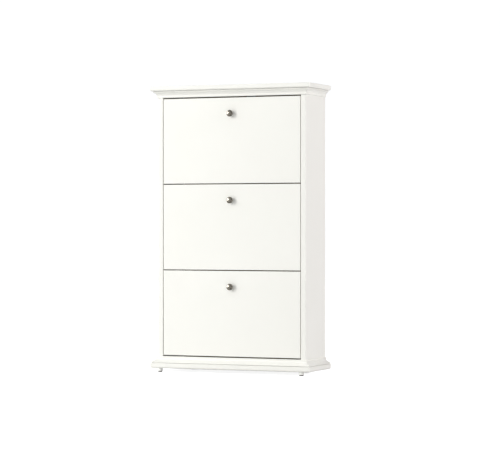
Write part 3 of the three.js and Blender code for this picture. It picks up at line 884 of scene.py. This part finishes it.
class CabinetKnobs(bpy.types.Operator):
    """Build the three knobs and the screws that hold them"""

    bl_idname = "cabinet.knobs"
    bl_label = "Knobs"

    def execute(self, context):
        for flap in FLAPS:
            node = f"flap_{flap}_knob"
            low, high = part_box(node)
            centre = (low + high) / 2
            bm = turned(knob_profile((high.x - low.x) / 2, high.y - low.y), 64)
            bm.transform(aimed((centre.x, high.y, centre.z), (0, -1, 0)))
            piece(node + "_fine", bm, "knob_metal", "flap_" + flap, [node])
            self.screw(flap, centre)
        return {"FINISHED"}

    def screw(self, flap, centre):
        node = f"flap_{flap}_knob_screw"
        low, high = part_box(node)
        head, shank = 2.6 * MM, 2.0 * MM
        bm = pan_head_screw((high.x - low.x) / 2, head, shank, high.y - low.y - head)
        bm.transform(aimed((centre.x, high.y, centre.z), (0, 1, 0)))
        piece(node + "_fine", bm, "zinc_steel", "flap_" + flap, [node])


def pan_head_screw(radius, head, shank, length):
    """A pan-head screw with a cross recess. The top of its head is at the origin, facing +Z.

    The sizes are the head's radius and height, and the shank's radius and length.
    """
    steps = 24
    inner, outer = radius * 0.2, radius * 0.58
    profile = [(0, -head - length), (shank * 0.7, -head - length), (shank, -head - length + shank),
               (shank, -head), (radius * 0.96, -head), (radius, -head + 0.2 * MM)]
    profile += curve((radius, -head * 0.75), (radius, -head * 0.3), (radius * 0.85, -head * 0.06),
                     (outer, 0), 5)
    profile += [(inner, 0), (0, 0)]
    bm = turned(profile, steps)
    quarter = math.pi / 2
    wing = 2 * (2 * math.pi / steps)  # each arm of the cross is two steps wide

    def in_cross(face):
        middle = face.calc_center_median()
        reach = math.hypot(middle.x, middle.y)
        turn = math.atan2(middle.y, middle.x) % quarter
        flat = face.normal.z > 0.9 and middle.z > -0.1 * MM
        return flat and reach < outer and (reach < inner or turn < wing)

    faces = [face for face in bm.faces if in_cross(face)]
    grown = bmesh.ops.extrude_face_region(bm, geom=faces)
    floor = [item for item in grown["geom"] if isinstance(item, bmesh.types.BMVert)]
    bmesh.ops.delete(bm, geom=faces, context="FACES")
    bmesh.ops.translate(bm, vec=(0, 0, -head * 0.6), verts=floor)
    bmesh.ops.scale(bm, vec=(0.75, 0.75, 1), verts=floor)
    return bm


class CabinetTrays(bpy.types.Operator):
    """Build the floor, divider and back boards of each flap's two shoe rows"""

    bl_idname = "cabinet.trays"
    bl_label = "Shoe Row Boards"

    def execute(self, context):
        for flap in FLAPS:
            for board in ("tray_floor", "tray_divider", "tray_back"):
                node = f"flap_{flap}_{board}"
                bm = block(*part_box(node))
                ease_sharp(bm, 0.9 * MM, 3)
                piece(node + "_fine", bm, "inner_board", "flap_" + flap, [node])
        return {"FINISHED"}


class CabinetBrackets(bpy.types.Operator):
    """Finish the moulded end brackets, and add the screws that fix them to the flap fronts"""

    bl_idname = "cabinet.brackets"
    bl_label = "End Brackets"
    plate = 3 * MM  # thickness of the moulding
    flange_middle = 9.5 * MM  # from the plate to the line of the screws
    screw_rises = (-52 * MM, 60 * MM, 218 * MM)  # heights above the pivot

    def execute(self, context):
        for flap in FLAPS:
            for word, side in SIDES:
                node = frame["nodes"][f"flap_{flap}_bracket_{word}"]
                node.data.materials.clear()
                node.data.materials.append(material_for("bracket_plastic"))
            self.screws(flap)
        return {"FINISHED"}

    def screws(self, flap):
        """Screws through the flanges, with their heads on the inside."""
        pivot = PIVOTS["flap_" + flap]
        low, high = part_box(f"flap_{flap}_bracket_right")
        line = high.x - self.plate - self.flange_middle
        head = 2.0 * MM
        top = low.y + self.plate + head
        transforms = [
            aimed((side * line, top, pivot.z + rise), (0, 1, 0))
            for _, side in SIDES for rise in self.screw_rises]
        screw = pan_head_screw(3.6 * MM, head, 1.4 * MM, 12 * MM)
        piece(f"flap_{flap}_bracket_screws", repeated(screw, transforms), "zinc_steel", "flap_" + flap)


# ------------------------------------------------------------------ fittings


class CabinetPins(bpy.types.Operator):
    """Build the pivot pins and the stop pins"""

    bl_idname = "cabinet.pins"
    bl_label = "Pivot and Stop Pins"

    def execute(self, context):
        for flap in FLAPS:
            for kind, collar in (("pivot_pin", 8 * MM), ("stop_pin", 6.5 * MM)):
                for word, side in SIDES:
                    self.pin(f"{kind}_{flap}_{word}", side, collar)
        return {"FINISHED"}

    def pin(self, node, side, collar):
        low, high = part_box(node)
        length = high.x - low.x
        collar_end = INNER - FIT - min(abs(low.x), abs(high.x))
        collar_start = collar_end - 0.8 * MM
        pin, root = 3.99 * MM, 4.69 * MM
        profile = [(0, 0), (pin, 0), (pin, collar_start), (collar, collar_start),
                   (collar, collar_end), (root, collar_end), (root, length), (0, length)]
        bm = turned(rounded(profile, 0.3 * MM), 40)
        tip = low.x if side > 0 else high.x
        bm.transform(aimed((tip, (low.y + high.y) / 2, (low.z + high.z) / 2), (side, 0, 0)))
        piece(node + "_fine", bm, "zinc_steel", CASE, [node])


class CabinetFeet(bpy.types.Operator):
    """Build the glides under the base board and their felt pads"""

    bl_idname = "cabinet.feet"
    bl_label = "Feet"

    def execute(self, context):
        for place in ("front_left", "front_right", "rear_left", "rear_right"):
            self.glide("foot_" + place)
            self.pad("foot_pad_" + place)
        return {"FINISHED"}

    def glide(self, node):
        """A round glide with two grooves, and a spigot that goes up into the base board."""
        low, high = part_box(node)
        centre = (low + high) / 2
        radius = (high.x - low.x) / 2
        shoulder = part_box("base_board")[0].z - FIT - low.z
        spigot, top = 3 * MM, high.z - low.z
        profile = [(0, 0), (radius - 1.6 * MM, 0), (radius, 1.8 * MM), (radius, 4 * MM)]
        for groove in (5.5 * MM, 8.5 * MM):
            profile += [(radius, groove - 0.5 * MM), (radius - 0.6 * MM, groove),
                        (radius, groove + 0.5 * MM)]
        profile += [(radius, shoulder), (spigot, shoulder), (spigot, top), (0, top)]
        bm = turned(rounded(profile, 0.35 * MM), 48)
        bm.transform(Matrix.Translation((centre.x, centre.y, low.z)))
        piece(node + "_fine", bm, "glide_plastic", CASE, [node])

    def pad(self, node):
        low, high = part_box(node)
        centre = (low + high) / 2
        radius, height = (high.x - low.x) / 2, high.z - low.z
        bm = turned(rounded([(0, 0), (radius, 0), (radius, height), (0, height)], 0.7 * MM, 4), 48)
        bm.transform(Matrix.Translation((centre.x, centre.y, low.z)))
        piece(node + "_fine", bm, "felt", CASE, [node])


class CabinetSmallFittings(bpy.types.Operator):
    """Build the wall angle and its screws, and the cam caps on the rails"""

    bl_idname = "cabinet.small_fittings"
    bl_label = "Wall Angle and Caps"

    def execute(self, context):
        self.wall_angle()
        self.cam_caps()
        return {"FINISHED"}

    def wall_angle(self):
        """A pressed angle with a rounded bend."""
        low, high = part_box("wall_angle")
        thick = 2 * MM
        bend = 3 * MM
        section = [(low.y, high.z), (low.y, high.z - thick)]
        section += arc((high.y - bend - thick, high.z - thick - bend), bend, 90, 0, 6)
        section += [(high.y - thick, low.z), (high.y, low.z)]
        section += arc((high.y - bend - thick, high.z - bend - thick), bend + thick, 0, 90, 6)
        bm = prism([(low.x, y, z) for y, z in section], (high.x - low.x, 0, 0))
        ease_sharp(bm, 0.3 * MM)
        piece("wall_angle_fine", bm, "zinc_steel", CASE, ["wall_angle"])
        head = 2.2 * MM
        middle = (low.y + high.y) / 2 - 2 * MM
        transforms = [
            aimed((x, middle, high.z - thick - head), (0, 0, -1)) for x in (-11 * MM, 11 * MM)]
        screw = pan_head_screw(4 * MM, head, 1.8 * MM, 2.4 * MM)
        piece("wall_angle_screws", repeated(screw, transforms), "zinc_steel", CASE)

    def cam_caps(self):
        """Press-in caps over the cams at the ends of the cross rails, on their undersides."""
        radius = 8 * MM
        profile = [(0, 0), (radius, 0), (radius, 1.0 * MM), (6.5 * MM, 1.4 * MM), (0, 1.5 * MM)]
        cap = turned(rounded(profile, 0.3 * MM), 32)
        from_end, from_edge = 24 * MM, 20 * MM
        transforms = []
        for rail in ("cross_rail_lower", "cross_rail_upper"):
            low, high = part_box(rail)
            for x in (low.x + from_end, high.x - from_end):
                for y in (low.y + from_edge, high.y - from_edge):
                    transforms.append(aimed((x, y, low.z), (0, 0, -1)))
        piece("cross_rail_cam_caps", repeated(cap, transforms), "glide_plastic", CASE)


# ------------------------------------------------------------------ stage


class CabinetStage(bpy.types.Operator):
    """Set up the floor, the surroundings, the lights and the camera"""

    bl_idname = "cabinet.stage"
    bl_label = "Stage"

    def execute(self, context):
        studio = context.scene.cabinet_studio
        context.scene.view_settings.view_transform = "Standard"
        self.camera(context, studio)
        self.surroundings(context, studio)
        self.floor(context, studio)
        middle = (0, 0, CAD_BOUNDS[1].z / 2)
        key = self.lamp("Key light", studio.key, size=3.6, place=(-4.05, -6.0, 3.15), target=middle)
        key.data.color = studio.key_tint
        fill = self.lamp("Side fill", studio.side_fill, size=3.0, place=(4.7, 0.35, 1.7), target=middle)
        fill.data.color = studio.fill_tint
        fill.visible_glossy = False
        card = self.lamp("Left card", studio.card, size=3.6, place=(-3.2, -1.25, 1.6), target=middle)
        card.visible_diffuse = False
        low_card = self.lamp(
            "Low card", studio.low_card, size=0.5, place=(-0.8, -1.3, 0.26), target=(0, FRONT, 0.1))
        low_card.visible_glossy = False
        return {"FINISHED"}

    def camera(self, context, studio):
        data = bpy.data.cameras.new("Camera")
        data.lens = studio.lens
        data.sensor_width = 36
        data.clip_end = 100
        camera = bpy.data.objects.new("Camera", data)
        context.scene.collection.objects.link(camera)
        flat, rise = math.cos(studio.elevation), math.sin(studio.elevation)
        away = Vector((math.sin(studio.azimuth) * flat, -math.cos(studio.azimuth) * flat, rise))
        camera.location = Vector(studio.aim) + away * studio.distance
        camera.rotation_euler = (math.pi / 2 - studio.elevation, 0, studio.azimuth)
        context.scene.camera = camera

    def surroundings(self, context, studio):
        """Brightest overhead and to the left as a light, but even white where they are seen."""
        world = bpy.data.worlds.new("Surroundings")
        world.use_nodes = True
        context.scene.world = world
        tree = world.node_tree
        direction = add_node(tree, "ShaderNodeTexCoord").outputs["Generated"]
        towards = add_node(
            tree, "ShaderNodeVectorMath", {0: direction, 1: Vector(studio.sky_towards).normalized()},
            operation="DOT_PRODUCT").outputs["Value"]
        lit = span(tree, towards, -1.0, 1.0, studio.sky_dim, studio.sky_bright)
        seen = add_node(tree, "ShaderNodeLightPath").outputs["Is Camera Ray"]
        strength = add_node(
            tree, "ShaderNodeMix", {"Factor": seen, "A": lit, "B": studio.backdrop}, data_type="FLOAT")
        background = tree.nodes["Background"]
        background.inputs["Color"].default_value = shade(studio.sky_tint)
        tree.links.new(strength.outputs[0], background.inputs["Strength"])

    def floor(self, context, studio):
        """A wide pale disc, with faint clouds in its tone."""
        bm = new_bmesh()
        bmesh.ops.create_circle(bm, cap_ends=True, segments=96, radius=14)
        mesh = bpy.data.meshes.new("Floor")
        bm.to_mesh(mesh)
        bm.free()
        material, tree, shader = new_material("Floor", Specular_IOR_Level=0.2, Roughness=0.8)
        tone = place_group(
            tree, "clouds", light=shade(studio.floor), dark=shade(studio.floor, 0.985), size=0.8, grain=0.1)
        dimmed = mix_colours(tree, studio.floor_return, (0, 0, 0, 1), tone["Colour"])
        seen = add_node(tree, "ShaderNodeLightPath").outputs["Is Camera Ray"]
        shader.inputs["Emission Color"].default_value = (1, 1, 1, 1)
        feed(shader, Base_Color=mix_colours(tree, seen, dimmed, tone["Colour"]),
             Emission_Strength=math_node(tree, "MULTIPLY", seen, studio.floor_seen))
        mesh.materials.append(material)
        floor = bpy.data.objects.new("Floor", mesh)
        context.scene.collection.objects.link(floor)

    def lamp(self, name, power, size, place, target):
        """A round soft light that lights the cabinet and is never seen itself."""
        data = bpy.data.lights.new(name, "AREA")
        data.shape = "DISK"
        data.size = size
        data.energy = power
        lamp = bpy.data.objects.new(name, data)
        bpy.context.scene.collection.objects.link(lamp)
        lamp.location = place
        aim = Vector(target) - Vector(place)
        lamp.rotation_euler = aim.to_track_quat("-Z", "Y").to_euler()
        lamp.visible_camera = False
        return lamp


# ------------------------------------------------------------------ panel and run

STEPS = (CabinetStage, CabinetTopAndBase, CabinetSides, CabinetRails, CabinetMouldings, CabinetBack,
         CabinetFlapPanels, CabinetKnobs, CabinetTrays, CabinetBrackets, CabinetPins, CabinetFeet,
         CabinetSmallFittings)
SETTINGS = {"cabinet_finish": CabinetFinish, "cabinet_edges": CabinetEdges,
            "cabinet_studio": CabinetStudio}


class CabinetPanel(bpy.types.Panel):
    """Lists the cabinet's operators and settings"""

    bl_idname = "VIEW3D_PT_cabinet"
    bl_label = "Shoe Cabinet"
    bl_space_type = "VIEW_3D"
    bl_region_type = "UI"
    bl_category = "Cabinet"

    def draw(self, context):
        layout = self.layout
        for step in STEPS:
            layout.operator(step.bl_idname)
        for name, group in SETTINGS.items():
            box = layout.box()
            settings = getattr(context.scene, name)
            for prop in group.__annotations__:
                box.prop(settings, prop)


CLASSES = (*SETTINGS.values(), *STEPS, CabinetPanel)


def register():
    for cls in CLASSES:
        bpy.utils.register_class(cls)
    for name, group in SETTINGS.items():
        setattr(bpy.types.Scene, name, PointerProperty(type=group))


def unregister():
    for name in SETTINGS:
        delattr(bpy.types.Scene, name)
    for cls in reversed(CLASSES):
        bpy.utils.unregister_class(cls)


def main():
    register()
    for step in STEPS:
        area, name = step.bl_idname.split(".")
        getattr(getattr(bpy.ops, area), name)()


if __name__ == "__main__":
    main()
